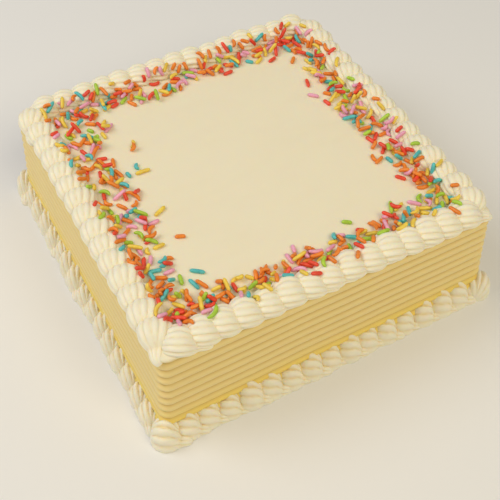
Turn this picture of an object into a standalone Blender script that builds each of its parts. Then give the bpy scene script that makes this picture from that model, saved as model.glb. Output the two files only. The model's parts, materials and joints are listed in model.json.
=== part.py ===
"""A square celebration cake in buttercream: a block with combed sides, a piped
shell border round the top edge and round the foot, and sugar strands scattered
along the inside of the top border.

Metres, +Z up. The origin is at the middle of the foot, and the front faces -Y.
Every border is piped from left to right as seen from outside, so that each
side starts with a shell at its left corner.
"""

import math
import random

import bmesh
import bpy
from mathutils import Matrix, Vector

# The block
FOOT_WIDTH = 0.2068
TOP_WIDTH = 0.1990
BLOCK_HEIGHT = 0.068
CORNER_RADIUS = 0.006
CORNER_STEPS = 3
COMB_PITCH = 0.0058
COMB_DEPTH = 0.0015
COMB_START = 0.0056
SMOOTH_RIM = 0.003
# Depth of the groove, as a share, at even steps of one comb tooth
COMB_TOOTH = (1.0, 0.35, 0.0, 0.35)

# What touching pieces keep between them
CLEARANCE = 0.0003

# A piped shell: it starts in a blunt head and is pulled out to a tail that thins
HEAD_SHARE = 0.36
HEAD_BLUNT = 2.2
TAIL_THINS = 0.40
TAIL_BLUNT = 8
SHELL_SIDES = 8
SHELL_RINGS = 6
LOBES = 4
LOBE_DEPTH = 0.16
FIRST_TURN = math.radians(7)
CORNER_SHELLS = 2
UNEVEN_SIZE = 0.05
UNEVEN_TURN = math.radians(4)
UNEVEN_PLACE = 0.0006
SIDES_OF_CAKE = ("front", "right", "back", "left")

# Each run of shells. The lift says how far the tail's middle stays up as it gets thinner,
# and the tail's width and height are shares of the head's
TOP_RUN = {
    "name": "top_border",
    "shells": 15,
    "length": 0.0255,
    "width": 0.0180,
    "height": 0.0130,
    "lift": 0.2,
    "tail_width": 0.66,
    "tail_height": 0.60,
    "foot": BLOCK_HEIGHT - 0.0050,
    "half_way": 0.0928,
    "slant": math.radians(20),
    "first_size": 1.0,
    "first_inset": 0.0070,
    "first_step": 0.0190,
    "last_gap": 0.0100,
    "seed": 11,
}
FOOT_RUN = {
    "name": "foot_border",
    "shells": 16,
    "length": 0.0205,
    "width": 0.0168,
    "height": 0.0300,
    "lift": 0.9,
    "tail_width": 0.80,
    "tail_height": 0.42,
    "foot": -0.0142,
    "half_way": 0.1013,
    "slant": math.radians(28),
    "first_size": 1.10,
    "first_inset": 0.0,
    "first_step": 0.0121,
    "last_gap": 0.0147,
    "seed": 29,
}

# Sugar strands
STRAND_RADIUS = 0.0011
STRAND_LENGTHS = (0.0050, 0.0090)
STRAND_SIDES = 6
STRAND_RINGS = 3
STRAND_SINK = 0.35
STRANDS_PER_SIDE = 20
BAND_REACH = 0.017
# Above 1, this draws the strands towards the border
BAND_CROWDING = 1.3
BAND_SEED = 5
FLANK_STRANDS = 5
FLANK_STAGGER = (0.2, 0.8)
FLANK_SPREAD = (0.04, 0.40)
# The upward share of the surface's direction, below which a strand would roll off
LEAST_UP = 0.6

ICING = ("icing", (0.88, 0.76, 0.46), 0.55)
PIPING = ("piped_icing", (0.91, 0.85, 0.66), 0.5)


def clear_scene():
    for obj in list(bpy.data.objects):
        bpy.data.objects.remove(obj, do_unlink=True)


def make_material(name, colour, roughness):
    material = bpy.data.materials.new(name)
    material.use_nodes = True
    shader = material.node_tree.nodes["Principled BSDF"]
    shader.inputs["Base Color"].default_value = (*colour, 1.0)
    shader.inputs["Roughness"].default_value = roughness
    shader.inputs["Metallic"].default_value = 0.0
    return material


def object_from(bm, name, collection=None):
    """Turns a bmesh into an object, with its faces pointing out."""
    bmesh.ops.recalc_face_normals(bm, faces=bm.faces)
    mesh = bpy.data.meshes.new(name)
    bm.to_mesh(mesh)
    bm.free()
    obj = bpy.data.objects.new(name, mesh)
    (collection or bpy.context.scene.collection).objects.link(obj)
    return obj


def helper_from(bm, name):
    """An object that only cuts others."""
    helper = object_from(bm, name)
    helper.hide_render = True
    helper.display_type = "WIRE"
    return helper


def half_width(height):
    """Half the block's width over the comb's ridges, at this height."""
    share = height / BLOCK_HEIGHT
    return (FOOT_WIDTH + (TOP_WIDTH - FOOT_WIDTH) * share) / 2


def outline(bm, half, height):
    """Edges of a square with round corners, lying flat at this height."""
    made = bmesh.ops.create_grid(bm, x_segments=1, y_segments=1, size=half)
    bmesh.ops.bevel(
        bm,
        geom=made["verts"],
        offset=CORNER_RADIUS,
        offset_type="OFFSET",
        segments=CORNER_STEPS,
        profile=0.5,
        affect="VERTICES",
        material=-1,
    )
    bmesh.ops.translate(bm, vec=(0, 0, height), verts=bm.verts)
    bmesh.ops.delete(bm, geom=list(bm.faces), context="FACES_ONLY")
    return list(bm.edges)


def stack(levels):
    """A solid that is a stack of round-cornered squares, given as (height, half width)."""
    bm = bmesh.new()
    start_height, last = levels[0]
    ring = outline(bm, last, start_height)
    first_ring = list(ring)
    for height, half in levels[1:]:
        made = bmesh.ops.extrude_edge_only(bm, edges=ring)
        verts = [v for v in made["geom"] if isinstance(v, bmesh.types.BMVert)]
        ring = [e for e in made["geom"] if isinstance(e, bmesh.types.BMEdge)]
        bmesh.ops.scale(bm, vec=(half / last, half / last, 1), verts=verts)
        for vert in verts:
            vert.co.z = height
        last = half
    bmesh.ops.contextual_create(bm, geom=first_ring)
    bmesh.ops.contextual_create(bm, geom=ring)
    return bm


def combed_levels():
    """Heights and half widths of the block, with a groove for each tooth of the comb."""
    levels = [(0.0, half_width(0.0))]
    steps = len(COMB_TOOTH)
    teeth = int((BLOCK_HEIGHT - COMB_START - SMOOTH_RIM) / COMB_PITCH)
    for step in range(teeth * steps + 1):
        height = COMB_START + step * COMB_PITCH / steps
        groove = COMB_DEPTH * COMB_TOOTH[step % steps]
        levels.append((height, half_width(height) - groove))
    levels.append((BLOCK_HEIGHT, half_width(BLOCK_HEIGHT)))
    return levels


def block_with_room():
    """The block's plain outer shape grown by the clearance, to fit the borders to it."""
    top, below = BLOCK_HEIGHT + CLEARANCE, 0.01
    levels = [
        (-below, half_width(-below) + CLEARANCE),
        (top, half_width(top) + CLEARANCE),
    ]
    return helper_from(stack(levels), "block_with_room")


def inner_line(run):
    """How far out of the middle the inner edge of a border stays."""
    return run["half_way"] - run["width"] / 2 * (1 + UNEVEN_SIZE) - UNEVEN_PLACE


def above_floor():
    """A large box that stands on the floor."""
    reach, high = 0.3, 0.1
    bm = bmesh.new()
    bmesh.ops.create_cube(bm, size=1)
    bmesh.ops.scale(bm, vec=(reach, reach, high), verts=bm.verts)
    bmesh.ops.translate(bm, vec=(0, 0, high / 2), verts=bm.verts)
    return helper_from(bm, "above_floor")


def thickness(share, tail):
    """How thick a shell is at this share of its length, as a share of its thickest.

    A blunt head sinks into a tail that starts at the tail's share and closes at the end.
    """
    beyond = share - HEAD_SHARE
    head = max(0.0, 1 - abs(beyond / HEAD_SHARE) ** HEAD_BLUNT) ** (1 / HEAD_BLUNT)
    if beyond < 0:
        return head
    along = beyond / (1 - HEAD_SHARE)
    rope = tail * (1 - TAIL_THINS * along)
    joined = ((head**3 + rope**3) / (1 + tail**3)) ** (1 / 3)
    return joined * math.sqrt(max(0.0, 1 - along**TAIL_BLUNT))


def on_shell(point, run, length, width, height):
    """Carries a point of the unit sphere to the surface of a shell that runs along +X.

    The sphere's top becomes the nose of the head.
    """
    share = (1 - point.z) / 2
    around = math.atan2(point.y, point.x)
    lobe = 1 - LOBE_DEPTH * (0.5 - 0.5 * math.cos(LOBES * (around + math.pi / 2)))
    wide = thickness(share, run["tail_width"])
    tall = thickness(share, run["tail_height"])
    middle = height / 2 * (run["lift"] + (1 - run["lift"]) * tall)
    return Vector((
        length * (share - HEAD_SHARE),
        width / 2 * wide * lobe * math.cos(around),
        middle + height / 2 * tall * lobe * math.sin(around),
    ))


def shell_places(run, side):
    """Size, turn and place of each shell of one side's run, laid out on the front.

    The last shell stops short of the corner, and the next side's first covers its tail.
    """
    draw = random.Random(run["seed"] + side)
    half_way = run["half_way"]
    corner = Vector((run["first_inset"] - half_way, -half_way, run["foot"]))
    places = [(run["first_size"], -run["slant"] - FIRST_TURN, corner)]
    second = -half_way + run["first_step"]
    steps = run["shells"] - 2
    pitch = (half_way - run["last_gap"] - second) / steps
    for index in range(steps + 1):
        size = 1 + draw.uniform(-UNEVEN_SIZE, UNEVEN_SIZE)
        turn = -run["slant"] + draw.uniform(-UNEVEN_TURN, UNEVEN_TURN)
        along = second + pitch * index + draw.uniform(-UNEVEN_PLACE, UNEVEN_PLACE)
        across = -half_way + draw.uniform(-UNEVEN_PLACE, UNEVEN_PLACE)
        places.append((size, turn, Vector((along, across, run["foot"]))))
    return places


def make_shell(run, place, collection, grow=0.0):
    size, turn, at = place
    bm = bmesh.new()
    bmesh.ops.create_uvsphere(
        bm, u_segments=SHELL_SIDES, v_segments=SHELL_RINGS, radius=1
    )
    length, width = run["length"] * size, run["width"] * size
    height = run["height"] * min(size, 1 + UNEVEN_SIZE)
    for vert in bm.verts:
        vert.co = on_shell(vert.co, run, length, width, height)
    middle = Vector((0, 0, height / 2))
    share = [1 + 2 * grow / measure for measure in (length, width, height)]
    bmesh.ops.translate(bm, vec=-middle, verts=bm.verts)
    bmesh.ops.scale(bm, vec=share, verts=bm.verts)
    bmesh.ops.translate(bm, vec=middle, verts=bm.verts)
    bmesh.ops.rotate(bm, matrix=Matrix.Rotation(turn, 3, "Z"), verts=bm.verts)
    bmesh.ops.translate(bm, vec=at, verts=bm.verts)
    return object_from(bm, "shell", collection)


def cut_for_next_side(piped, run, side, helpers):
    """Takes the first shells of the next side, grown by the clearance, off a front run."""
    turn = Matrix.Rotation(math.pi / 2, 4, "Z")
    next_side = (side + 1) % len(SIDES_OF_CAKE)
    for place in shell_places(run, next_side)[:CORNER_SHELLS]:
        cutter = make_shell(run, place, helpers, 2 * CLEARANCE)
        cutter.data.transform(turn)
        apply_boolean(piped, "DIFFERENCE", other=cutter)
    empty_collection(helpers)


def apply_boolean(obj, operation, other=None, collection=None):
    modifier = obj.modifiers.new(operation.lower(), "BOOLEAN")
    modifier.operation = operation
    modifier.solver = "MANIFOLD"
    if collection:
        modifier.operand_type = "COLLECTION"
        modifier.collection = collection
    else:
        modifier.object = other
    bpy.context.view_layer.update()
    graph = bpy.context.evaluated_depsgraph_get()
    mesh = bpy.data.meshes.new_from_object(obj.evaluated_get(graph), depsgraph=graph)
    obj.modifiers.clear()
    obj.data = mesh


def joined_to(vert):
    """All the points that edges join to this one."""
    found = {vert}
    waiting = [vert]
    while waiting:
        here = waiting.pop()
        for edge in here.link_edges:
            other = edge.other_vert(here)
            if other not in found:
                found.add(other)
                waiting.append(other)
    return found


def drop_scraps(obj):
    """Keeps the largest body, without the slivers that a cut has left beside it."""
    bm = bmesh.new()
    bm.from_mesh(obj.data)
    left = set(bm.verts)
    largest = set()
    while left:
        body = joined_to(next(iter(left)))
        left -= body
        largest = max(largest, body, key=len)
    scraps = [vert for vert in bm.verts if vert not in largest]
    bmesh.ops.delete(bm, geom=scraps, context="VERTS")
    bm.to_mesh(obj.data)
    bm.free()


def empty_collection(collection):
    for obj in list(collection.objects):
        bpy.data.objects.remove(obj, do_unlink=True)


def make_strand(at, direction, length, collection):
    """One sugar strand: a thin rod with blunt ends, whose middle lies at this point."""
    bm = bmesh.new()
    bmesh.ops.create_uvsphere(
        bm, u_segments=STRAND_SIDES, v_segments=STRAND_RINGS, radius=STRAND_RADIUS
    )
    stretch = length / 2 - STRAND_RADIUS
    for vert in bm.verts:
        vert.co.z += math.copysign(stretch, vert.co.z)
    lay = direction.to_track_quat("Z", "Y").to_matrix()
    bmesh.ops.rotate(bm, matrix=lay, verts=bm.verts)
    bmesh.ops.translate(bm, vec=at, verts=bm.verts)
    return object_from(bm, "strand", collection)


def scatter_on_block(helpers):
    """Strands on the block's top, inside the border, evenly round the four sides."""
    draw = random.Random(BAND_SEED)
    limit = inner_line(TOP_RUN) - 2 * CLEARANCE - STRAND_RADIUS
    height = BLOCK_HEIGHT + STRAND_RADIUS * (1 - STRAND_SINK)
    for side in range(len(SIDES_OF_CAKE)):
        turn = Matrix.Rotation(side * math.pi / 2, 3, "Z")
        for index in range(STRANDS_PER_SIDE):
            length = draw.uniform(*STRAND_LENGTHS)
            heading = draw.uniform(0, math.pi)
            direction = Vector((math.cos(heading), math.sin(heading), 0))
            room_x = limit - length / 2 * abs(direction.x)
            room_y = limit - length / 2 * abs(direction.y)
            along = -room_x + 2 * room_x * (index + draw.random()) / STRANDS_PER_SIDE
            across = -room_y + BAND_REACH * draw.random() ** BAND_CROWDING
            at = Vector((along, across, height))
            make_strand(turn @ at, turn @ direction, length, helpers)


def scatter_on_run(piped, run, side, helpers):
    """Strands lying on the inner flank of a front run, tangent to its surface.

    They stay outside the run's inner line, clear of the strands on the block.
    """
    draw = random.Random(BAND_SEED + 1 + side)
    above = 0.2
    start = -run["half_way"] + run["width"]
    stretch = 2 * (run["half_way"] - run["width"])
    for index in range(FLANK_STRANDS):
        along = start + stretch * (index + draw.uniform(*FLANK_STAGGER)) / FLANK_STRANDS
        across = -run["half_way"] + run["width"] * draw.uniform(*FLANK_SPREAD)
        heading = draw.uniform(0, math.pi)
        length = draw.uniform(*STRAND_LENGTHS)
        reach = STRAND_RADIUS + length / 2 * math.sin(heading)
        across = min(across, -inner_line(run) - reach)
        found, spot, normal, _ = piped.ray_cast((along, across, above), (0, 0, -1))
        if not found or normal.z < LEAST_UP:
            continue
        flat = Vector((math.cos(heading), math.sin(heading), 0))
        direction = (flat - normal * flat.dot(normal)).normalized()
        at = spot + normal * STRAND_RADIUS * (1 - STRAND_SINK)
        make_strand(at, direction, length, helpers)


def make_block(helpers):
    block = object_from(stack(combed_levels()), "cake_block")
    scatter_on_block(helpers)
    apply_boolean(block, "UNION", collection=helpers)
    empty_collection(helpers)
    return block


def make_run(run, side, helpers, cutters):
    """One side's piped shells, joined, fitted to the block and turned to their side."""
    shells = [make_shell(run, place, helpers) for place in shell_places(run, side)]
    piped = shells[0]
    helpers.objects.unlink(piped)
    bpy.context.scene.collection.objects.link(piped)
    piped.name = run["name"] + "_" + SIDES_OF_CAKE[side]
    apply_boolean(piped, "UNION", collection=helpers)
    empty_collection(helpers)
    cut_for_next_side(piped, run, side, helpers)
    if run is TOP_RUN:
        scatter_on_run(piped, run, side, helpers)
        apply_boolean(piped, "UNION", collection=helpers)
        empty_collection(helpers)
    apply_boolean(piped, "INTERSECT", other=cutters["floor"])
    apply_boolean(piped, "DIFFERENCE", other=cutters["block"])
    drop_scraps(piped)
    piped.data.transform(Matrix.Rotation(side * math.pi / 2, 4, "Z"))
    return piped


def main():
    clear_scene()
    icing, piping = make_material(*ICING), make_material(*PIPING)
    helpers = bpy.data.collections.new("helpers")
    bpy.context.scene.collection.children.link(helpers)
    block = make_block(helpers)
    block.data.materials.append(icing)
    cutters = {"block": block_with_room(), "floor": above_floor()}
    for run in (TOP_RUN, FOOT_RUN):
        for side in range(len(SIDES_OF_CAKE)):
            piped = make_run(run, side, helpers, cutters)
            piped.data.materials.append(piping)
    for cutter in cutters.values():
        bpy.data.objects.remove(cutter, do_unlink=True)


main()
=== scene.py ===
# %% [markdown]
# # A square buttercream cake with ribbon sides
#
# This notebook dresses a plain, faceted model of a cake. The cake is a block covered in pale yellow
# buttercream. Its sides are combed into level ribs, shells are piped round the top edge and round
# the foot, and coloured sugar strands lie along the inside of the top border.
#
# The plain model comes first, as a frame that is never changed. Each finished piece is then built
# over it at the same size, and stands for one or more of its solids.

# %% Load the frame
import json
import math
import random

import bmesh
import bpy
import numpy
from mathutils import Matrix, Vector, noise
from mathutils.bvhtree import BVHTree

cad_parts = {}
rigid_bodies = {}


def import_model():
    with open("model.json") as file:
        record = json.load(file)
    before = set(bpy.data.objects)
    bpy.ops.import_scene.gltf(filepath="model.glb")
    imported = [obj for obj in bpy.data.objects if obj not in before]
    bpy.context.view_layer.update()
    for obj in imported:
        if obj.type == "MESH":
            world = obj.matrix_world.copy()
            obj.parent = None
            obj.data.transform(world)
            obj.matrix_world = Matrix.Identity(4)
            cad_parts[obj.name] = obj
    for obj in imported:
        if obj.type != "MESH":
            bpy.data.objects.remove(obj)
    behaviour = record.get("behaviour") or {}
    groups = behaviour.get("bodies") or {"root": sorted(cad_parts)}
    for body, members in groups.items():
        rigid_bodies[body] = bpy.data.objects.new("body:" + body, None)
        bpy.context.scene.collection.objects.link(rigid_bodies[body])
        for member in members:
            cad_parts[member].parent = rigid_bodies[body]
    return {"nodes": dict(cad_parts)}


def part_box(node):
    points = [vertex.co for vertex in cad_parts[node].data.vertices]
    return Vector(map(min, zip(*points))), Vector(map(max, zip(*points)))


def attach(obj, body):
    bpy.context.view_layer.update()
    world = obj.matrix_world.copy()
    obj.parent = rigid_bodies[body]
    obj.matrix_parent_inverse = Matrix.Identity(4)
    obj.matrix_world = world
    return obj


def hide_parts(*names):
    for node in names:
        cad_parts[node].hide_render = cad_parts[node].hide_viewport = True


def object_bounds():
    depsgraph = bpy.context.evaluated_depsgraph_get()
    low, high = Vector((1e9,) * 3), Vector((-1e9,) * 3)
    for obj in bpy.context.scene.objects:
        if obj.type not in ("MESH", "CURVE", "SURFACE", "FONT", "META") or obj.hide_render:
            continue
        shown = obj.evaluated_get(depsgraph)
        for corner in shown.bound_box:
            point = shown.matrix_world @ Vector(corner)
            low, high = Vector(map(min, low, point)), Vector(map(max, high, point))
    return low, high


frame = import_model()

MM = 0.001
cad_low, cad_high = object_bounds()
block_low, block_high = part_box("cake_block")
print("solids:", sorted(frame["nodes"]))
print("whole cake, mm:", [round(v / MM, 1) for v in cad_high - cad_low])
print("block with its strands, mm:", [round(v / MM, 1) for v in block_high - block_low])

# %% [markdown]
# ## The driving sizes
#
# A cake like this is 200 mm square, which is 8 inches. These are the sizes that the solids were
# made from. They are repeated here so that the fine surface has the same places, and everything
# else is worked out from them. Only the foot's shells are a hair narrower, which leaves room for
# their small lumps. A tail's width and height are shares of the head's, and the lift says how far
# the tail's middle stays up as it gets thinner.

# %% Sizes of the block and of the piping
FOOT_WIDTH = 206.8 * MM
TOP_WIDTH = 199.0 * MM
BLOCK_HEIGHT = 68.0 * MM
CORNER_RADIUS = 6.0 * MM
COMB_PITCH = 5.8 * MM
COMB_DEPTH = 1.5 * MM
COMB_START = 5.6 * MM
SIDES_OF_CAKE = ("front", "right", "back", "left")

TOP_RUN = {
    "name": "top_border", "shells": 15, "length": 25.5 * MM, "width": 18.0 * MM,
    "height": 13.0 * MM, "lift": 0.2, "foot": BLOCK_HEIGHT - 5.0 * MM, "half_way": 92.8 * MM,
    "slant": math.radians(20), "tail_width": 0.66, "tail_height": 0.60,
    "first_size": 1.0, "first_inset": 7.0 * MM, "first_step": 19.0 * MM,
    "last_gap": 10.0 * MM, "ridge_depth": 0.14, "seed": 11,
}
FOOT_RUN = {
    "name": "foot_border", "shells": 16, "length": 20.5 * MM, "width": 16.5 * MM,
    "height": 30.0 * MM, "lift": 0.9, "foot": -14.2 * MM, "half_way": 101.3 * MM,
    "slant": math.radians(28), "tail_width": 0.80, "tail_height": 0.42,
    "first_size": 1.10, "first_inset": 0.0, "first_step": 12.1 * MM,
    "last_gap": 14.7 * MM, "ridge_depth": 0.18, "seed": 29,
}
FIRST_TURN = math.radians(7)
UNEVEN_SIZE = 0.05
UNEVEN_TURN = math.radians(4)
UNEVEN_PLACE = 0.6 * MM


def half_width(height):
    """Half the block's width over the comb's ribs, at this height."""
    return (FOOT_WIDTH + (TOP_WIDTH - FOOT_WIDTH) * height / BLOCK_HEIGHT) / 2


print("block leans in by", round((FOOT_WIDTH - TOP_WIDTH) / 2 / MM, 2), "mm a side")

# %% [markdown]
# ## The camera
#
# The cake is seen from above its near left corner. Azimuth, elevation and distance give the place
# of the camera, and a small roll tilts the picture, as a hand-held camera does. Building the
# camera's axes by hand keeps the roll in one clear line.

# %% Camera
AZIMUTH = math.radians(-29.64)
ELEVATION = math.radians(50.64)
ROLL = math.radians(0.956)
DISTANCE = 548.3 * MM
TARGET = Vector((-1.0, -10.6, 0.0)) * MM
LENS = 64.0


def add_camera():
    level = math.cos(ELEVATION)
    back = Vector((math.sin(AZIMUTH) * level, -math.cos(AZIMUTH) * level, math.sin(ELEVATION)))
    right = (-back).cross(Vector((0, 0, 1))).normalized()
    up = right.cross(-back)
    rolled_right = right * math.cos(ROLL) + up * math.sin(ROLL)
    rolled_up = up * math.cos(ROLL) - right * math.sin(ROLL)
    data = bpy.data.cameras.new("camera")
    data.lens = LENS
    camera = bpy.data.objects.new("camera", data)
    axes = Matrix((rolled_right, rolled_up, back)).transposed().to_4x4()
    camera.matrix_world = Matrix.Translation(TARGET + back * DISTANCE) @ axes
    bpy.context.scene.collection.objects.link(camera)
    bpy.context.scene.camera = camera
    return camera


camera = add_camera()
print("camera at, mm:", [round(v / MM) for v in camera.matrix_world.translation])

# %% [markdown]
# ## Small helpers
#
# A bmesh is a mesh that is being worked on. This helper turns a finished one into an object, with
# its faces pointing outwards. A second helper runs a Boolean at once, so that no modifier is left.

# %% Helpers for meshes
def object_from(bm, name, recalculate=True):
    if recalculate:
        bmesh.ops.recalc_face_normals(bm, faces=bm.faces)
    mesh = bpy.data.meshes.new(name)
    bm.to_mesh(mesh)
    bm.free()
    obj = bpy.data.objects.new(name, mesh)
    bpy.context.scene.collection.objects.link(obj)
    return obj


def boolean_now(obj, operation, other=None, collection=None):
    modifier = obj.modifiers.new("boolean", "BOOLEAN")
    modifier.operation = operation
    modifier.solver = "MANIFOLD"
    if collection:
        modifier.operand_type = "COLLECTION"
        modifier.collection = collection
    else:
        modifier.object = other
    bpy.context.view_layer.update()
    graph = bpy.context.evaluated_depsgraph_get()
    mesh = bpy.data.meshes.new_from_object(obj.evaluated_get(graph), depsgraph=graph)
    obj.modifiers.clear()
    obj.data = mesh


def triangles(obj):
    return sum(len(face.vertices) - 2 for face in obj.data.polygons)


# %% [markdown]
# ## The combed block
#
# The icing on the sides is drawn round with a toothed comb, which leaves level, rounded ribs with
# narrow valleys between them. The block is a stack of flat outlines: one square with round
# corners, extruded upwards step by step and scaled a little at each step, so that the comb's teeth
# and the slight lean come out of one short loop. A real comb wanders up and down as the hand moves
# round, and this is a slow noise that lifts the ribs by a fraction of a millimetre.

# %% Outlines stacked into a block
CORNER_STEPS = 8
SIDE_CUTS = 47
RIB_STEPS = 8
# Below 1, this makes the ribs fuller and the valleys narrower
RIB_FULLNESS = 0.9
RIM_HEIGHT = 3.0 * MM
RIM_ROUND = 1.6 * MM
RIM_STEPS = 4


def square_outline(bm, half):
    made = bmesh.ops.create_grid(bm, x_segments=1, y_segments=1, size=half)
    bmesh.ops.bevel(bm, geom=made["verts"], offset=CORNER_RADIUS, offset_type="OFFSET",
                    segments=CORNER_STEPS, profile=0.5, affect="VERTICES", material=-1)
    bmesh.ops.delete(bm, geom=list(bm.faces), context="FACES_ONLY")
    long_edges = [e for e in bm.edges if e.calc_length() > CORNER_RADIUS]
    bmesh.ops.subdivide_edges(bm, edges=long_edges, cuts=SIDE_CUTS)
    return list(bm.edges)


def rib_groove(height):
    """How deep the comb has cut at this height: nothing on a rib, all of it in a valley."""
    tooth = (height - COMB_START) / COMB_PITCH
    if tooth < 0 or height > BLOCK_HEIGHT - RIM_HEIGHT:
        return 0.0
    return COMB_DEPTH * (1 - math.sin(math.pi * (tooth % 1.0)) ** RIB_FULLNESS)


def side_levels():
    step = COMB_PITCH / RIB_STEPS
    count = int((BLOCK_HEIGHT - RIM_HEIGHT - COMB_START) / step) + 1
    heights = [0.0, COMB_START / 2]
    heights += [COMB_START + index * step for index in range(count)]
    levels = [(height, half_width(height) - rib_groove(height)) for height in heights]
    for index in range(RIM_STEPS + 1):
        turn = math.pi / 2 * index / RIM_STEPS
        height = BLOCK_HEIGHT - RIM_ROUND * (1 - math.sin(turn))
        levels.append((height, half_width(height) - RIM_ROUND * (1 - math.cos(turn))))
    return levels


def stack_block(levels):
    bm = bmesh.new()
    last = levels[0][1]
    ring = square_outline(bm, last)
    bmesh.ops.contextual_create(bm, geom=ring)
    for height, half in levels[1:]:
        made = bmesh.ops.extrude_edge_only(bm, edges=ring)
        verts = [v for v in made["geom"] if isinstance(v, bmesh.types.BMVert)]
        ring = [e for e in made["geom"] if isinstance(e, bmesh.types.BMEdge)]
        bmesh.ops.scale(bm, vec=(half / last, half / last, 1), verts=verts)
        for vert in verts:
            vert.co.z = height
        last = half
    bmesh.ops.contextual_create(bm, geom=ring)
    return bm


# %% [markdown]
# ### The scraped top
#
# The top was scraped with a straight blade, so it is nearly flat, with very shallow waves that the
# blade left. The same stack goes on over the rim: its last outlines shrink towards the middle at
# one height, which gives rings of faces that a noise can lift.

# %% Close the top and let the surfaces wander
TOP_RINGS = 44
# How far each surface strays, how long its waves are, and a number that sets them apart
TOP_WAVE = (0.12 * MM, 22 * MM, 7.3)
COMB_WANDER = (0.55 * MM, 48 * MM, 1.7)
SIDE_WAVE = (0.25 * MM, 35 * MM, 4.1)
# A noise is squeezed across the blade's path, and stretched up the walls
BLADE_SQUEEZE = 3
COMB_STRETCH = 0.4
# Towards its edges a wall keeps still over this height, and this thin a skin counts as the top
STILL_EDGE = 6 * MM
TOP_SKIN = 0.05 * MM


def top_levels():
    edge = half_width(BLOCK_HEIGHT) - RIM_ROUND
    return [(BLOCK_HEIGHT, edge * (1 - ring / TOP_RINGS)) for ring in range(1, TOP_RINGS)]


def wander(point, scale, seed):
    return noise.noise(Vector(point) / scale + Vector((seed, 0.0, 0.0)))


def let_wander(bm):
    """Lift the top, and move the walls up or down and in or out, but not at their edges."""
    wave, wave_length, wave_seed = TOP_WAVE
    lift, lift_length, lift_seed = COMB_WANDER
    push, push_length, push_seed = SIDE_WAVE
    for vert in bm.verts:
        x, y, z = vert.co
        if z > BLOCK_HEIGHT - TOP_SKIN:
            vert.co.z += wave * wander((x, y * BLADE_SQUEEZE, 0), wave_length, wave_seed)
        elif z > 0:
            share = min(1.0, z / STILL_EDGE, (BLOCK_HEIGHT - z) / STILL_EDGE)
            place = (x, y, z * COMB_STRETCH)
            vert.co.z += share * lift * wander(place, lift_length, lift_seed)
            out = Vector((x, y, 0)).normalized()
            vert.co += out * push * share * wander((x, y, z), push_length, push_seed)


levels = side_levels() + top_levels()
bm = stack_block(levels)
let_wander(bm)
block = object_from(bm, "combed_block")
block.data.shade_smooth()
print("combed block:", len(levels), "levels,", triangles(block), "triangles")

# %% [markdown]
# ## One piped shell
#
# A star tip squeezes out a ridged rope. A shell starts with a strong squeeze, which builds a round
# head with fanned ridges, and is then pulled along while the pressure drops, which leaves a thin
# tail. A sphere has the right build for this: its poles become the nose and the end of the tail,
# and its meridians become the ridges of the star.

# %% The form of a shell
# How much of the length lies before the thickest place, how blunt the head and the tail's end
# are, and how much thinner the tail gets
HEAD_SHARE = 0.36
HEAD_BLUNT = 2.2
TAIL_THINS = 0.40
TAIL_BLUNT = 8
RIDGES = 12
RIDGE_LEVEL = 0.2
RIDGE_ROUNDNESS = 1.5
# Where a shell is thinner than this share, its ridges fade out
RIDGE_FADE = 0.4
# How deep and how long the lumps of each kind are, on a shell of radius 1
WIDE_LUMPS = (0.04, 0.8)
SMALL_LUMPS = (0.02, 0.22)
SHELL_SIDES = 84
SHELL_RINGS = 44


def thickness(share, tail):
    """A shell's thickness along its length: a blunt head that sinks into a thinning tail."""
    beyond = share - HEAD_SHARE
    head = max(0.0, 1 - abs(beyond / HEAD_SHARE) ** HEAD_BLUNT) ** (1 / HEAD_BLUNT)
    if beyond < 0:
        return head
    along = beyond / (1 - HEAD_SHARE)
    rope = tail * (1 - TAIL_THINS * along)
    joined = ((head**3 + rope**3) / (1 + tail**3)) ** (1 / 3)
    return joined * math.sqrt(max(0.0, 1 - along**TAIL_BLUNT))


def ridge(from_top, thick, depth):
    """Rounded ridges with sharp valleys, which lie nearly level on the head."""
    level = math.acos(min(1.0, max(-1.0, thick * math.cos(from_top))))
    phase = (1 - RIDGE_LEVEL) * abs(from_top) + RIDGE_LEVEL * level
    wave = abs(math.cos(RIDGES / 2 * phase))
    return 1 - depth * (1 - wave) ** RIDGE_ROUNDNESS


def lumps(point, kind, seed):
    depth, length = kind
    return depth * wander(point, length, seed)


def on_shell(point, run, length, width, height, seed):
    """Carry a point of the unit sphere to a shell along +X, with the sphere's top as the nose."""
    share = (1 - point.z) / 2
    around = math.atan2(point.y, point.x)
    wide = thickness(share, run["tail_width"])
    tall = thickness(share, run["tail_height"])
    from_top = math.remainder(math.pi / 2 - around, math.tau)
    uneven = ridge(from_top, tall, run["ridge_depth"] * min(1.0, tall / RIDGE_FADE))
    uneven *= 1 + lumps(point, WIDE_LUMPS, seed) + lumps(point, SMALL_LUMPS, seed)
    middle = height / 2 * (run["lift"] + (1 - run["lift"]) * tall)
    return Vector((
        length * (share - HEAD_SHARE),
        width / 2 * wide * uneven * math.cos(around),
        middle + height / 2 * tall * uneven * math.sin(around),
    ))


def make_shell(run, place, seed, collection):
    size, turn, at = place
    bm = bmesh.new()
    bmesh.ops.create_uvsphere(bm, u_segments=SHELL_SIDES, v_segments=SHELL_RINGS, radius=1)
    length, width = run["length"] * size, run["width"] * size
    height = run["height"] * min(size, 1 + UNEVEN_SIZE)
    for vert in bm.verts:
        vert.co = on_shell(vert.co, run, length, width, height, seed)
    bmesh.ops.rotate(bm, matrix=Matrix.Rotation(turn, 3, "Z"), verts=bm.verts)
    bmesh.ops.translate(bm, vec=at, verts=bm.verts)
    shell = object_from(bm, "shell")
    bpy.context.scene.collection.objects.unlink(shell)
    collection.objects.link(shell)
    return shell


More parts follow.
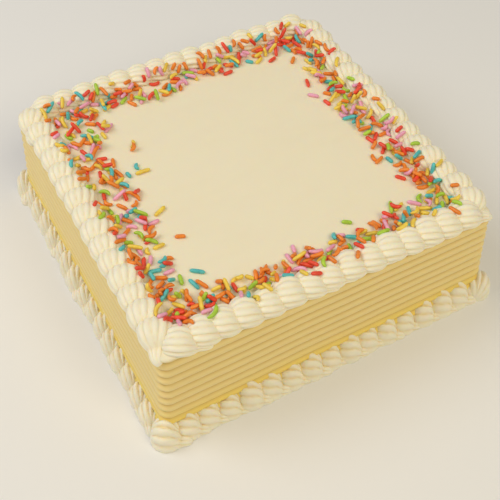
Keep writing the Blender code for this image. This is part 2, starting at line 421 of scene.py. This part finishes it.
# %% [markdown]
# ## The runs of piping
#
# Each side is piped in one run from its left corner to its right one. The first shell is turned
# outwards a little more than the rest, and it covers the last tail of the run before it. At the
# foot it is larger too. Sizes, turns and places are drawn from a seeded generator, because no
# hand pipes two shells alike. The shells of a run are joined by one Boolean union, so that the
# creases between them are true meeting lines.

# %% Places of the shells on a side
def shell_places(run, side):
    draw = random.Random(run["seed"] + side)
    half_way = run["half_way"]
    corner = Vector((run["first_inset"] - half_way, -half_way, run["foot"]))
    places = [(run["first_size"], -run["slant"] - FIRST_TURN, corner)]
    second = -half_way + run["first_step"]
    steps = run["shells"] - 2
    pitch = (half_way - run["last_gap"] - second) / steps
    for index in range(steps + 1):
        size = 1 + draw.uniform(-UNEVEN_SIZE, UNEVEN_SIZE)
        turn = -run["slant"] + draw.uniform(-UNEVEN_TURN, UNEVEN_TURN)
        along = second + pitch * index + draw.uniform(-UNEVEN_PLACE, UNEVEN_PLACE)
        across = -half_way + draw.uniform(-UNEVEN_PLACE, UNEVEN_PLACE)
        places.append((size, turn, Vector((along, across, run["foot"]))))
    return places


# %% Join and fit the runs
SINK = 1.8 * MM
CREASE_ANGLE = math.radians(48)
# Steps between the lumps of two runs, two sides and two shells
RUN_STEP = 3.1
SIDE_STEP = 7.7
SHELL_STEP = 1.3


def cutting_box(name, low, high):
    bm = bmesh.new()
    bmesh.ops.create_cube(bm, size=1)
    bmesh.ops.scale(bm, vec=Vector(high) - Vector(low), verts=bm.verts)
    bmesh.ops.translate(bm, vec=(Vector(high) + Vector(low)) / 2, verts=bm.verts)
    return object_from(bm, name)


def make_run(run, side, workbench, floor_cutter, core_cutter):
    seed = run["seed"] * RUN_STEP + side * SIDE_STEP
    for index, place in enumerate(shell_places(run, side)):
        make_shell(run, place, seed + index * SHELL_STEP, workbench)
    piped = workbench.objects[0]
    workbench.objects.unlink(piped)
    bpy.context.scene.collection.objects.link(piped)
    boolean_now(piped, "UNION", collection=workbench)
    for shell in list(workbench.objects):
        bpy.data.objects.remove(shell, do_unlink=True)
    boolean_now(piped, "DIFFERENCE", other=core_cutter)
    boolean_now(piped, "INTERSECT", other=floor_cutter)
    piped.data.transform(Matrix.Rotation(side * math.pi / 2, 4, "Z"))
    piped.name = run["name"] + "_" + SIDES_OF_CAKE[side] + "_piping"
    piped.data.shade_smooth()
    piped.data.set_sharp_from_angle(angle=CREASE_ANGLE)
    return piped


workbench = bpy.data.collections.new("workbench")
bpy.context.scene.collection.children.link(workbench)
far = 0.2
floor_cutter = cutting_box("above_floor", (-far, -far, 0), (far, far, far))
core = half_width(BLOCK_HEIGHT) - COMB_DEPTH - SINK
core_cutter = cutting_box("core", (-core, -core, -far), (core, core, BLOCK_HEIGHT - SINK))
runs = {}
for run in (TOP_RUN, FOOT_RUN):
    for side in range(len(SIDES_OF_CAKE)):
        piped = make_run(run, side, workbench, floor_cutter, core_cutter)
        runs[run["name"] + "_" + SIDES_OF_CAKE[side]] = piped
        print(piped.name, triangles(piped), "triangles")
for helper in (floor_cutter, core_cutter):
    bpy.data.objects.remove(helper, do_unlink=True)

# %% [markdown]
# ## The sugar strands
#
# Strands are short rods of coloured sugar paste, blunt at the ends, and some are bent. Each is a
# sphere with a few sides, stretched into a rod and bent into an arc. They are strewn by hand along
# the inside of the border, thick beside it and thin towards the middle, so a strand's place is
# drawn with more weight near the border.

# %% Where the strands lie
STRAND_RADIUS = 1.12 * MM
STRAND_LENGTHS = (4.4 * MM, 9.6 * MM)
USUAL_LENGTH = 6.0 * MM
STRAND_COUNT = 720
TRIES = 3
STRAND_CEILING = cad_high.z - 0.3 * MM
BAND_SEED = 5
BAND_OUTER = 84.5 * MM
# How far in the band reaches at even steps along each side, from its left corner to its right
BAND_REACH = {
    "front": (12, 17, 11, 14, 13, 17, 12),
    "right": (12, 13, 19, 17, 17, 12, 15),
    "back": (12, 15, 13, 15, 18, 12, 16),
    "left": (31, 28, 28, 25, 22, 19, 17),
}
# How far strands lie up on the border, outwards of the band, and how many of them do
BAND_CLIMB = {"front": 9.0, "right": 6.5, "back": 4.5, "left": 4.0}
CLIMB_SHARE = 0.22
# Above 1, this crowds the strands towards the border
CROWDING = 1.15
# Strands lie in clumps: the band's usual depth, how much it varies, and over what length
CLUMPS = (0.8, 0.35, 11 * MM)
CLUMP_SEED = 9.9
# A few strands stray past the band's inner edge, this many times its reach
STRAY_SHARE = 0.02
STRAY_REACH = (1.0, 1.35)
# How many of each hundred strands have this colour
COLOUR_SHARES = {"red": 16, "orange": 31, "yellow": 21, "green": 10, "blue": 11, "pink": 11}


def reach_at(side_name, share):
    """The band's reach at a share of the side's length, between the listed steps."""
    steps = BAND_REACH[side_name]
    place = min(max(share, 0.0), 0.999) * (len(steps) - 1)
    index = int(place)
    return MM * (steps[index] + (steps[index + 1] - steps[index]) * (place - index))


def band_place(draw):
    """A place on the cake's top for the middle of one strand."""
    side = draw.randrange(4)
    share = draw.random()
    along = (2 * share - 1) * BAND_OUTER
    reach = reach_at(SIDES_OF_CAKE[side], share)
    usual, more, clump_length = CLUMPS
    clump = usual + more * wander((along, side, 0), clump_length, CLUMP_SEED)
    depth = reach * clump * draw.random() ** CROWDING
    if draw.random() < CLIMB_SHARE:
        depth = -draw.random() * BAND_CLIMB[SIDES_OF_CAKE[side]] * MM
    if draw.random() < STRAY_SHARE:
        depth = reach * draw.uniform(*STRAY_REACH)
    at = Vector((along, -(BAND_OUTER - depth), 0))
    return Matrix.Rotation(side * math.pi / 2, 3, "Z") @ at


# %% [markdown]
# ### How a strand comes to rest
#
# A dropped strand falls until two points hold it, one on each side of its middle. The heights
# under it are read at a few steps along its length. The upper convex hull of those heights is
# the line that a stiff rod would rest on, and the hull's edge over the middle is where it lies.
# Each placed strand joins the ground for the next one, so that the strands pile up. Of a few
# tries, the place where the strand lies flattest on the icing is kept.

# %% Heights under a strand
GROUND_STEPS = 11
ABOVE_ALL = 0.2
# A strand holds up another that is nearer than this, at this height over its middle line
PILE_REACH = 1.6 * STRAND_RADIUS
PILE_HEIGHT = 0.8 * STRAND_RADIUS
# How high a strand's middle line lies on soft icing, in radii
BEDDED = 0.82


def ground_tree(objects):
    bm = bmesh.new()
    for obj in objects:
        bm.from_mesh(obj.data)
    return BVHTree.FromBMesh(bm)


def height_under(tree, x, y):
    hit = tree.ray_cast(Vector((x, y, ABOVE_ALL)), Vector((0, 0, -1)))
    return hit[0].z if hit[0] else 0.0


def pile_height(placed, x, y):
    """Top of the strands already placed, over this point."""
    best = 0.0
    for start, end in placed:
        along = end - start
        flat = Vector((along.x, along.y))
        gap = Vector((x - start.x, y - start.y))
        share = min(1.0, max(0.0, gap.dot(flat) / max(flat.length_squared, 1e-12)))
        near = start + along * share
        off = math.hypot(x - near.x, y - near.y)
        if off < PILE_REACH:
            best = max(best, near.z + PILE_HEIGHT)
    return best


# %% Resting line of a strand
def resting_line(heights, offsets):
    """Height at the middle and slope of a stiff rod that lies on these heights."""
    best = None
    for i, left in enumerate(offsets):
        for j in range(i + 1, len(offsets)):
            if left > 0 or offsets[j] < 0:
                continue
            slope = (heights[j] - heights[i]) / (offsets[j] - left)
            middle = heights[i] - slope * left
            if best is None or middle > best[0]:
                best = (middle, slope)
    return best


def settle(tree, placed, spot, heading, length):
    """How far a strand that has come to rest lies above the icing, and its two ends."""
    reach = (length + STRAND_LENGTHS[1]) / 2
    placed = [ends for ends in placed if ((ends[0] + ends[1]) / 2 - spot).xy.length < reach]
    flat = Vector((math.cos(heading), math.sin(heading), 0))
    half = length / 2 - STRAND_RADIUS
    offsets = [half * (2 * k / (GROUND_STEPS - 1) - 1) for k in range(GROUND_STEPS)]
    heights = []
    for offset in offsets:
        x, y = spot.x + flat.x * offset, spot.y + flat.y * offset
        heights.append(max(height_under(tree, x, y), pile_height(placed, x, y)))
    middle, slope = resting_line(heights, offsets)
    lift = Vector((0, 0, middle + STRAND_RADIUS * BEDDED))
    direction = (flat + Vector((0, 0, slope))).normalized()
    centre = Vector((spot.x, spot.y, 0)) + lift
    lifted = middle - height_under(tree, spot.x, spot.y)
    return lifted, centre - direction * half, centre + direction * half


tree = ground_tree([block] + [runs["top_border_" + name] for name in SIDES_OF_CAKE])
print("icing under the strands at the middle, mm:", round(height_under(tree, 0, 0) / MM, 2))

# %% Model the strands
STRAND_SIDES = 8
STRAND_RINGS = 8
BENT_SHARE = 0.3
MOST_BEND = 0.13
LEAST_BEND = 0.3
STRAIGHT_BEND = 0.05 * MM
# A sphere's rings are widened to the rod's width. Rings narrower than NARROW_RING are widened
# less, and those past POLE_SHARE are not, which keeps the ends blunt but round
NARROW_RING = 0.55
POLE_SHARE = 0.95
END_ROUNDING = 0.35
END_POWER = 6
END_REACH = 0.9


def add_strand(bm, start, end, bend):
    """Add one rod with blunt ends between two points, bent sideways into an arc."""
    made = bmesh.ops.create_uvsphere(bm, u_segments=STRAND_SIDES, v_segments=STRAND_RINGS,
                                     radius=STRAND_RADIUS)
    along = end - start
    stretch = along.length / 2
    lay = along.to_track_quat("Z", "Y").to_matrix()
    sideways = along.cross(Vector((0, 0, 1))).normalized()
    for vert in made["verts"]:
        share = vert.co.z / STRAND_RADIUS
        if abs(share) < POLE_SHARE:
            blunt = 1 - END_ROUNDING * abs(share) ** END_POWER
            widen = blunt / max(math.sqrt(1 - share**2), NARROW_RING)
            vert.co.x *= widen
            vert.co.y *= widen
        vert.co.z = share * (stretch + STRAND_RADIUS * END_REACH)
        arc = bend * (1 - (vert.co.z / stretch) ** 2)
        vert.co = (start + end) / 2 + lay @ vert.co + sideways * arc


def scatter_strands(tree):
    draw = random.Random(BAND_SEED)
    meshes = {colour: bmesh.new() for colour in COLOUR_SHARES}
    colours, weights = list(COLOUR_SHARES), list(COLOUR_SHARES.values())
    placed = []
    for _ in range(STRAND_COUNT):
        length = draw.triangular(*STRAND_LENGTHS, USUAL_LENGTH)
        colour = draw.choices(colours, weights)[0]
        bend = draw.choice((-1, 1)) * draw.uniform(LEAST_BEND, 1.0) * MOST_BEND * length
        if draw.random() > BENT_SHARE:
            bend = STRAIGHT_BEND
        lain = [settle(tree, placed, band_place(draw), draw.uniform(0, math.pi), length)
                for _ in range(TRIES)]
        _, start, end = min(lain, key=lambda found: found[0])
        if max(start.z, end.z) + STRAND_RADIUS < STRAND_CEILING:
            placed.append((start, end))
            add_strand(meshes[colour], start, end, bend)
    return meshes, placed


strand_meshes, placed = scatter_strands(tree)
strands = {}
for colour, mesh_of_colour in strand_meshes.items():
    strands[colour] = object_from(mesh_of_colour, "strands_" + colour)
    strands[colour].data.shade_smooth()
print("strands:", len(placed), "highest, mm:", round(max(e.z for _, e in placed) / MM, 1))

# %% [markdown]
# ## Where the cream is deep
#
# In a groove, light goes from one wall of cream to the other and is coloured again each time, so
# the grooves of a buttercream cake look more yellow than its ridges. That bounce light and the
# shade in the grooves are painted here as a deeper colour. A point lies in a groove where its
# neighbours stand higher than it along its normal. That share is stored on the mesh as an
# attribute, so that the painted shade can follow the real form. The block stores a second one for
# its combed walls, which are painted deeper than the scraped top for the light that bounces in the
# comb and the shade on the walls, and deepest just above the foot, as painted bounce light from
# the border. Higher up, the walls take a little of the painted groove shade.

# %% Attributes for painted shade and painted bounce light
# The foot's painted bounce light fades out between these two heights; the walls take this share of
# the painted bounce colour, and their middle this share of painted shade
PAINTED_BOUNCE_HEIGHTS = (15 * MM, 31 * MM)
PAINTED_BOUNCE_ON_WALLS = 0.60
WALL_SHADE = 0.16
# How strongly a hollow counts as a groove on each part, and how far that is evened out
BLOCK_GAIN = 3.2
TOP_GAIN = 2.2
FOOT_GAIN = 3.0
GROOVE_SPREAD = 2
# The groove share is scaled by this into the share of painted shade
PAINTED_SHADE_STRENGTH = 1.4


def store(mesh, name, values):
    attribute = mesh.attributes.new(name, "FLOAT", "POINT")
    attribute.data.foreach_set("value", numpy.clip(values, 0, 1).astype(numpy.float32))


def read_vectors(items, name):
    values = numpy.empty(len(items) * 3, dtype=numpy.float32)
    items.foreach_get(name, values)
    return values.reshape(-1, 3)


def find_grooves(obj, gain, spread):
    """How far each point lies in a groove, evened out over a few neighbours: the share of painted
    shade.
    """
    mesh = obj.data
    place = read_vectors(mesh.vertices, "co")
    normal = read_vectors(mesh.vertices, "normal")
    ends = numpy.empty(len(mesh.edges) * 2, dtype=numpy.int32)
    mesh.edges.foreach_get("vertices", ends)
    one, other = ends.reshape(-1, 2).T
    along = place[other] - place[one]
    along /= numpy.maximum(numpy.linalg.norm(along, axis=1, keepdims=True), 1e-9)
    count = len(mesh.vertices)
    both = numpy.concatenate((one, other))
    rise = numpy.concatenate(((normal[one] * along).sum(1), -(normal[other] * along).sum(1)))
    links = numpy.maximum(numpy.bincount(both, minlength=count), 1)
    share = numpy.clip(gain * numpy.bincount(both, rise, count) / links, 0, 1)
    for _ in range(spread):
        passed = numpy.concatenate((share[other], share[one]))
        share = (share + numpy.bincount(both, passed, count) / links) / 2
    return share * PAINTED_SHADE_STRENGTH


def wall_and_painted_bounce(obj):
    """Whether each point is on a wall, and how near it is to the foot of the wall, where bright
    bounce light from the border is painted.
    """
    height = read_vectors(obj.data.vertices, "co")[:, 2]
    low, high = PAINTED_BOUNCE_HEIGHTS
    painted_foot_bounce = numpy.clip((high - height) / (high - low), 0, 1) ** 2
    return numpy.clip((BLOCK_HEIGHT - RIM_ROUND / 2 - height) / RIM_ROUND, 0, 1), painted_foot_bounce


painted_groove_shade = find_grooves(block, BLOCK_GAIN, GROOVE_SPREAD)
painted_wall_light, painted_foot_bounce = wall_and_painted_bounce(block)
# Painted shade: the groove share, plus a little on the middle of the walls above the bright foot
store(block.data, "painted_groove_shade", painted_groove_shade + WALL_SHADE * painted_wall_light * (1 - painted_foot_bounce))
# Painted bounce light: a share on every wall, rising to all of it just above the foot
store(block.data, "painted_wall_light", painted_wall_light * (PAINTED_BOUNCE_ON_WALLS + (1 - PAINTED_BOUNCE_ON_WALLS) * painted_foot_bounce))
print("groove share of the block, mean and most:", round(float(painted_groove_shade.mean()), 3), painted_groove_shade.max())
for name, piped in runs.items():
    # The runs' painted shade lies in the creases between and along the shells
    gain = FOOT_GAIN if name.startswith(FOOT_RUN["name"]) else TOP_GAIN
    painted_groove_shade = find_grooves(piped, gain, GROOVE_SPREAD)
    store(piped.data, "painted_groove_shade", painted_groove_shade)
print("groove share of a run, mean and most:", round(float(painted_groove_shade.mean()), 3), painted_groove_shade.max())

# %% [markdown]
# ## Buttercream
#
# Whipped butter and sugar is pale, soft and slightly see-through, so light goes a little way in
# and comes out warmer. Subsurface scattering gives that glow in the valleys. The surface is
# satin, not glossy, with tiny air holes and faint drag lines. One node group makes the shared
# pattern: a slow drift in tone, small pits, fine grain and the drag of the blade, and it mixes in
# the painted shade of the grooves and the painted bounce light of the walls. Each icing sets its
# own values.

# %% Helpers for nodes
def new_group(name, inputs, outputs):
    group = bpy.data.node_groups.new(name, "ShaderNodeTree")
    for label, kind, value in inputs:
        socket = group.interface.new_socket(label, in_out="INPUT", socket_type=kind)
        socket.default_value = value
    for label, kind in outputs:
        group.interface.new_socket(label, in_out="OUTPUT", socket_type=kind)
    return group, group.nodes.new("NodeGroupInput"), group.nodes.new("NodeGroupOutput")


def texture_noise(group, scale, detail, roughness=0.5):
    node = group.nodes.new("ShaderNodeTexNoise")
    node.inputs["Scale"].default_value = scale
    node.inputs["Detail"].default_value = detail
    node.inputs["Roughness"].default_value = roughness
    return node


def math_node(tree, operation, first, second):
    node = tree.nodes.new("ShaderNodeMath")
    node.operation = operation
    for socket, value in zip(node.inputs, (first, second)):
        if isinstance(value, bpy.types.NodeSocket):
            tree.links.new(value, socket)
        else:
            socket.default_value = value
    return node.outputs["Value"]


def mix_colour(tree, first, second, share):
    node = tree.nodes.new("ShaderNodeMix")
    node.data_type = "RGBA"
    tree.links.new(first, node.inputs["A"])
    tree.links.new(second, node.inputs["B"])
    tree.links.new(share, node.inputs["Factor"])
    return node.outputs["Result"]


# %% Shared group for cream
DRIFT_SCALE = 38.0
GRAIN_SCALE = 900.0
DRAG_SCALE = 300.0
DRAG_STRETCH = (0.06, 1.0, 1.0)
PIT_SCALE = 420.0
PIT_SIZE = 0.16
LEAST_ROUGH = 0.36
ROUGH_SPAN = 0.18


def cream_group():
    colour = "NodeSocketColor"
    number = "NodeSocketFloat"
    group, source, sink = new_group(
        "cream_surface",
        [("Light", colour, (0.9, 0.8, 0.6, 1)), ("Painted Bounce", colour, (0.9, 0.6, 0.2, 1)),
         ("Painted Shade And Drift Tone", colour, (0.8, 0.6, 0.3, 1)), ("Painted Bounce Share", number, 0.0),
         ("Painted Shade Share", number, 0.0), ("Drift", number, 0.1), ("Pits", number, 0.3),
         ("Drag", number, 0.3)],
        [("Color", colour), ("Roughness", number), ("Height", number)],
    )
    links = group.links
    coordinates = group.nodes.new("ShaderNodeTexCoord")
    drift = texture_noise(group, DRIFT_SCALE, 3.0)
    grain = texture_noise(group, GRAIN_SCALE, 4.0, 0.6)
    drag = texture_noise(group, DRAG_SCALE, 2.0)
    pits = group.nodes.new("ShaderNodeTexVoronoi")
    pits.inputs["Scale"].default_value = PIT_SCALE
    for node in (drift, grain, pits):
        links.new(coordinates.outputs["Object"], node.inputs["Vector"])
    stretch = group.nodes.new("ShaderNodeMapping")
    stretch.inputs["Scale"].default_value = DRAG_STRETCH
    links.new(coordinates.outputs["Object"], stretch.inputs["Vector"])
    links.new(stretch.outputs["Vector"], drag.inputs["Vector"])
    # Walls take the painted bounce colour and grooves the painted shade colour, by the shares
    # stored on the meshes; the drift in tone moves the colour a little towards or away from that
    # deep shade colour at random
    tone = mix_colour(group, source.outputs["Light"], source.outputs["Painted Bounce"],
                      source.outputs["Painted Bounce Share"])
    change = math_node(group, "SUBTRACT", drift.outputs["Fac"], 0.5)
    change = math_node(group, "MULTIPLY", change, source.outputs["Drift"])
    share = math_node(group, "ADD", change, source.outputs["Painted Shade Share"])
    links.new(mix_colour(group, tone, source.outputs["Painted Shade And Drift Tone"], share), sink.inputs["Color"])
    rough = math_node(group, "MULTIPLY_ADD", grain.outputs["Fac"], ROUGH_SPAN)
    rough.node.inputs[2].default_value = LEAST_ROUGH
    links.new(rough, sink.inputs["Roughness"])
    holes = math_node(group, "LESS_THAN", pits.outputs["Distance"], PIT_SIZE)
    sunk = math_node(group, "MULTIPLY", holes, source.outputs["Pits"])
    height = math_node(group, "SUBTRACT", grain.outputs["Fac"], sunk)
    lines = math_node(group, "MULTIPLY", drag.outputs["Fac"], source.outputs["Drag"])
    links.new(math_node(group, "ADD", height, lines), sink.inputs["Height"])
    return group


cream = cream_group()
print("group sockets:", [item.name for item in cream.interface.items_tree])

# %% Cream materials
CREAM_DEPTH = 1.4 * MM
CREAM_RADIUS = (1.0, 0.72, 0.32)
RELIEF = 0.15 * MM


def cream_material(name, colours, values, bump):
    material = bpy.data.materials.new(name)
    material.use_nodes = True
    nodes, links = material.node_tree.nodes, material.node_tree.links
    shader = nodes["Principled BSDF"]
    surface = nodes.new("ShaderNodeGroup")
    surface.node_tree = cream
    for label, colour in colours.items():
        surface.inputs[label].default_value = (*colour, 1)
    for label, value in values.items():
        surface.inputs[label].default_value = value
    # The stored shares of painted shade and painted bounce light are read here
    for label, attribute in (("Painted Shade Share", "painted_groove_shade"), ("Painted Bounce Share", "painted_wall_light")):
        stored = nodes.new("ShaderNodeAttribute")
        stored.attribute_name = attribute
        links.new(stored.outputs["Fac"], surface.inputs[label])
    relief = nodes.new("ShaderNodeBump")
    relief.inputs["Strength"].default_value = bump
    relief.inputs["Distance"].default_value = RELIEF
    links.new(surface.outputs["Color"], shader.inputs["Base Color"])
    links.new(surface.outputs["Roughness"], shader.inputs["Roughness"])
    links.new(surface.outputs["Height"], relief.inputs["Height"])
    links.new(relief.outputs["Normal"], shader.inputs["Normal"])
    shader.inputs["Subsurface Weight"].default_value = 0.3
    shader.inputs["Subsurface Radius"].default_value = CREAM_RADIUS
    shader.inputs["Subsurface Scale"].default_value = CREAM_DEPTH
    shader.inputs["Specular IOR Level"].default_value = 0.35
    return material


# In each icing the second colour is painted bounce light for the walls, and the third is painted
# shade for the grooves, which the random drift in tone also leans on
icing = cream_material(
    "icing",
    {"Light": (0.90, 0.82, 0.61), "Painted Bounce": (0.93, 0.70, 0.17), "Painted Shade And Drift Tone": (0.66, 0.44, 0.12)},
    {"Drift": 0.10, "Pits": 0.12, "Drag": 0.6}, 0.25)
piping = cream_material(
    "piped_icing",
    {"Light": (0.93, 0.87, 0.69), "Painted Bounce": (0.93, 0.70, 0.17), "Painted Shade And Drift Tone": (0.86, 0.68, 0.34)},
    {"Drift": 0.15, "Pits": 0.3, "Drag": 0.2}, 0.35)
print("cream materials:", icing.name, "and", piping.name)

# %% [markdown]
# ## Sugar strands
#
# The strands are pressed sugar paste with a thin glaze: strong even colours, a soft gloss, and a
# slightly powdery skin. One material recipe serves all six colours. A noise darkens and lightens
# each strand a little, so that no two are quite alike.

# %% Strand materials
STRAND_COLOURS = {
    "red": (0.88, 0.075, 0.03),
    "orange": (0.97, 0.26, 0.02),
    "yellow": (0.97, 0.66, 0.08),
    "green": (0.44, 0.68, 0.05),
    "blue": (0.10, 0.56, 0.56),
    "pink": (0.95, 0.42, 0.58),
}
SPECKLE_SCALE = 260.0
DARKER = 0.82
LIGHTER = 1.12
BLEACH = 0.01
LEAST_GLAZE = 0.26
GLAZE_SPAN = 0.2
PASTE_DEPTH = 0.8 * MM


def strand_material(colour):
    material = bpy.data.materials.new("strand_" + colour)
    material.use_nodes = True
    tree = material.node_tree
    shader = tree.nodes["Principled BSDF"]
    coordinates = tree.nodes.new("ShaderNodeTexCoord")
    speckle = texture_noise(tree, SPECKLE_SCALE, 3.0)
    tree.links.new(coordinates.outputs["Object"], speckle.inputs["Vector"])
    ramp = tree.nodes.new("ShaderNodeValToRGB")
    base = STRAND_COLOURS[colour]
    dark, light = ramp.color_ramp.elements
    dark.position = 0.3
    dark.color = (*[channel * DARKER for channel in base], 1)
    light.position = 0.7
    light.color = (*[min(1, channel * LIGHTER + BLEACH) for channel in base], 1)
    tree.links.new(speckle.outputs["Fac"], ramp.inputs["Fac"])
    tree.links.new(ramp.outputs["Color"], shader.inputs["Base Color"])
    rough = math_node(tree, "MULTIPLY_ADD", speckle.outputs["Fac"], GLAZE_SPAN)
    rough.node.inputs[2].default_value = LEAST_GLAZE
    tree.links.new(rough, shader.inputs["Roughness"])
    shader.inputs["Subsurface Weight"].default_value = 0.15
    shader.inputs["Subsurface Radius"].default_value = (1.0, 0.6, 0.4)
    shader.inputs["Subsurface Scale"].default_value = PASTE_DEPTH
    return material


def dress(obj, material):
    obj.data.materials.clear()
    obj.data.materials.append(material)


dress(block, icing)
for piped in runs.values():
    dress(piped, piping)
for colour, strand in strands.items():
    dress(strand, strand_material(colour))
print("strand materials:", [strand.active_material.name for strand in strands.values()])

# %% [markdown]
# ## Floor and light
#
# The cake stands on a plain pale floor. Daylight comes from a large window on the left and behind,
# so the left border is nearly white and the front is in soft, warm shade. One large area light
# plays the window, a second and warmer one fills the front, and a pale sky does the rest.

# %% Floor, lights and sky
FLOOR_SIZE = 6.0
FLOOR_COLOUR = (0.85, 0.84, 0.82)


def add_floor():
    bm = bmesh.new()
    bmesh.ops.create_grid(bm, x_segments=1, y_segments=1, size=FLOOR_SIZE / 2)
    floor = object_from(bm, "floor", recalculate=False)
    material = bpy.data.materials.new("floor")
    material.use_nodes = True
    shader = material.node_tree.nodes["Principled BSDF"]
    shader.inputs["Base Color"].default_value = (*FLOOR_COLOUR, 1)
    shader.inputs["Roughness"].default_value = 0.8
    dress(floor, material)
    return floor


def add_area_light(name, azimuth, elevation, distance, size, power, colour):
    a, e = math.radians(azimuth), math.radians(elevation)
    away = Vector((math.sin(a) * math.cos(e), -math.cos(a) * math.cos(e), math.sin(e)))
    data = bpy.data.lights.new(name, "AREA")
    data.shape = "DISK"
    data.size = size
    data.energy = power
    data.color = colour
    light = bpy.data.objects.new(name, data)
    light.matrix_world = (Matrix.Translation(away * distance)
                          @ away.to_track_quat("Z", "Y").to_matrix().to_4x4())
    bpy.context.scene.collection.objects.link(light)
    return light


def add_sky(colour, strength):
    world = bpy.data.worlds.new("sky")
    world.use_nodes = True
    background = world.node_tree.nodes["Background"]
    background.inputs["Color"].default_value = (*colour, 1)
    background.inputs["Strength"].default_value = strength
    bpy.context.scene.world = world


add_floor()
add_area_light("window", -115, 50, 1.5, 1.0, 9.0, (1.0, 0.98, 0.97))
add_area_light("fill", 12, 50, 1.8, 1.0, 11.2, (1.0, 0.88, 0.60))
add_sky((1.0, 0.99, 0.97), 0.35)
bpy.context.scene.view_settings.view_transform = "Standard"
print("lights:", [light.name for light in bpy.data.lights])

# %% [markdown]
# ## Attach the pieces
#
# Every piece rides on the cake's one body and stands for the solids that it replaces, which are
# hidden. The strands lie on the block and on the top border alike, so for each colour all of
# those solids are hidden.

# %% Ride and replace
top_nodes = ["top_border_" + name for name in SIDES_OF_CAKE]
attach(block, "root")
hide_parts("cake_block")
for node, piped in runs.items():
    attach(piped, "root")
    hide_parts(node)
for colour, strand in strands.items():
    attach(strand, "root")
    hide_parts("cake_block", *top_nodes)

print("CAD box, mm:", [round(v / MM, 1) for v in (*cad_low, *cad_high)])
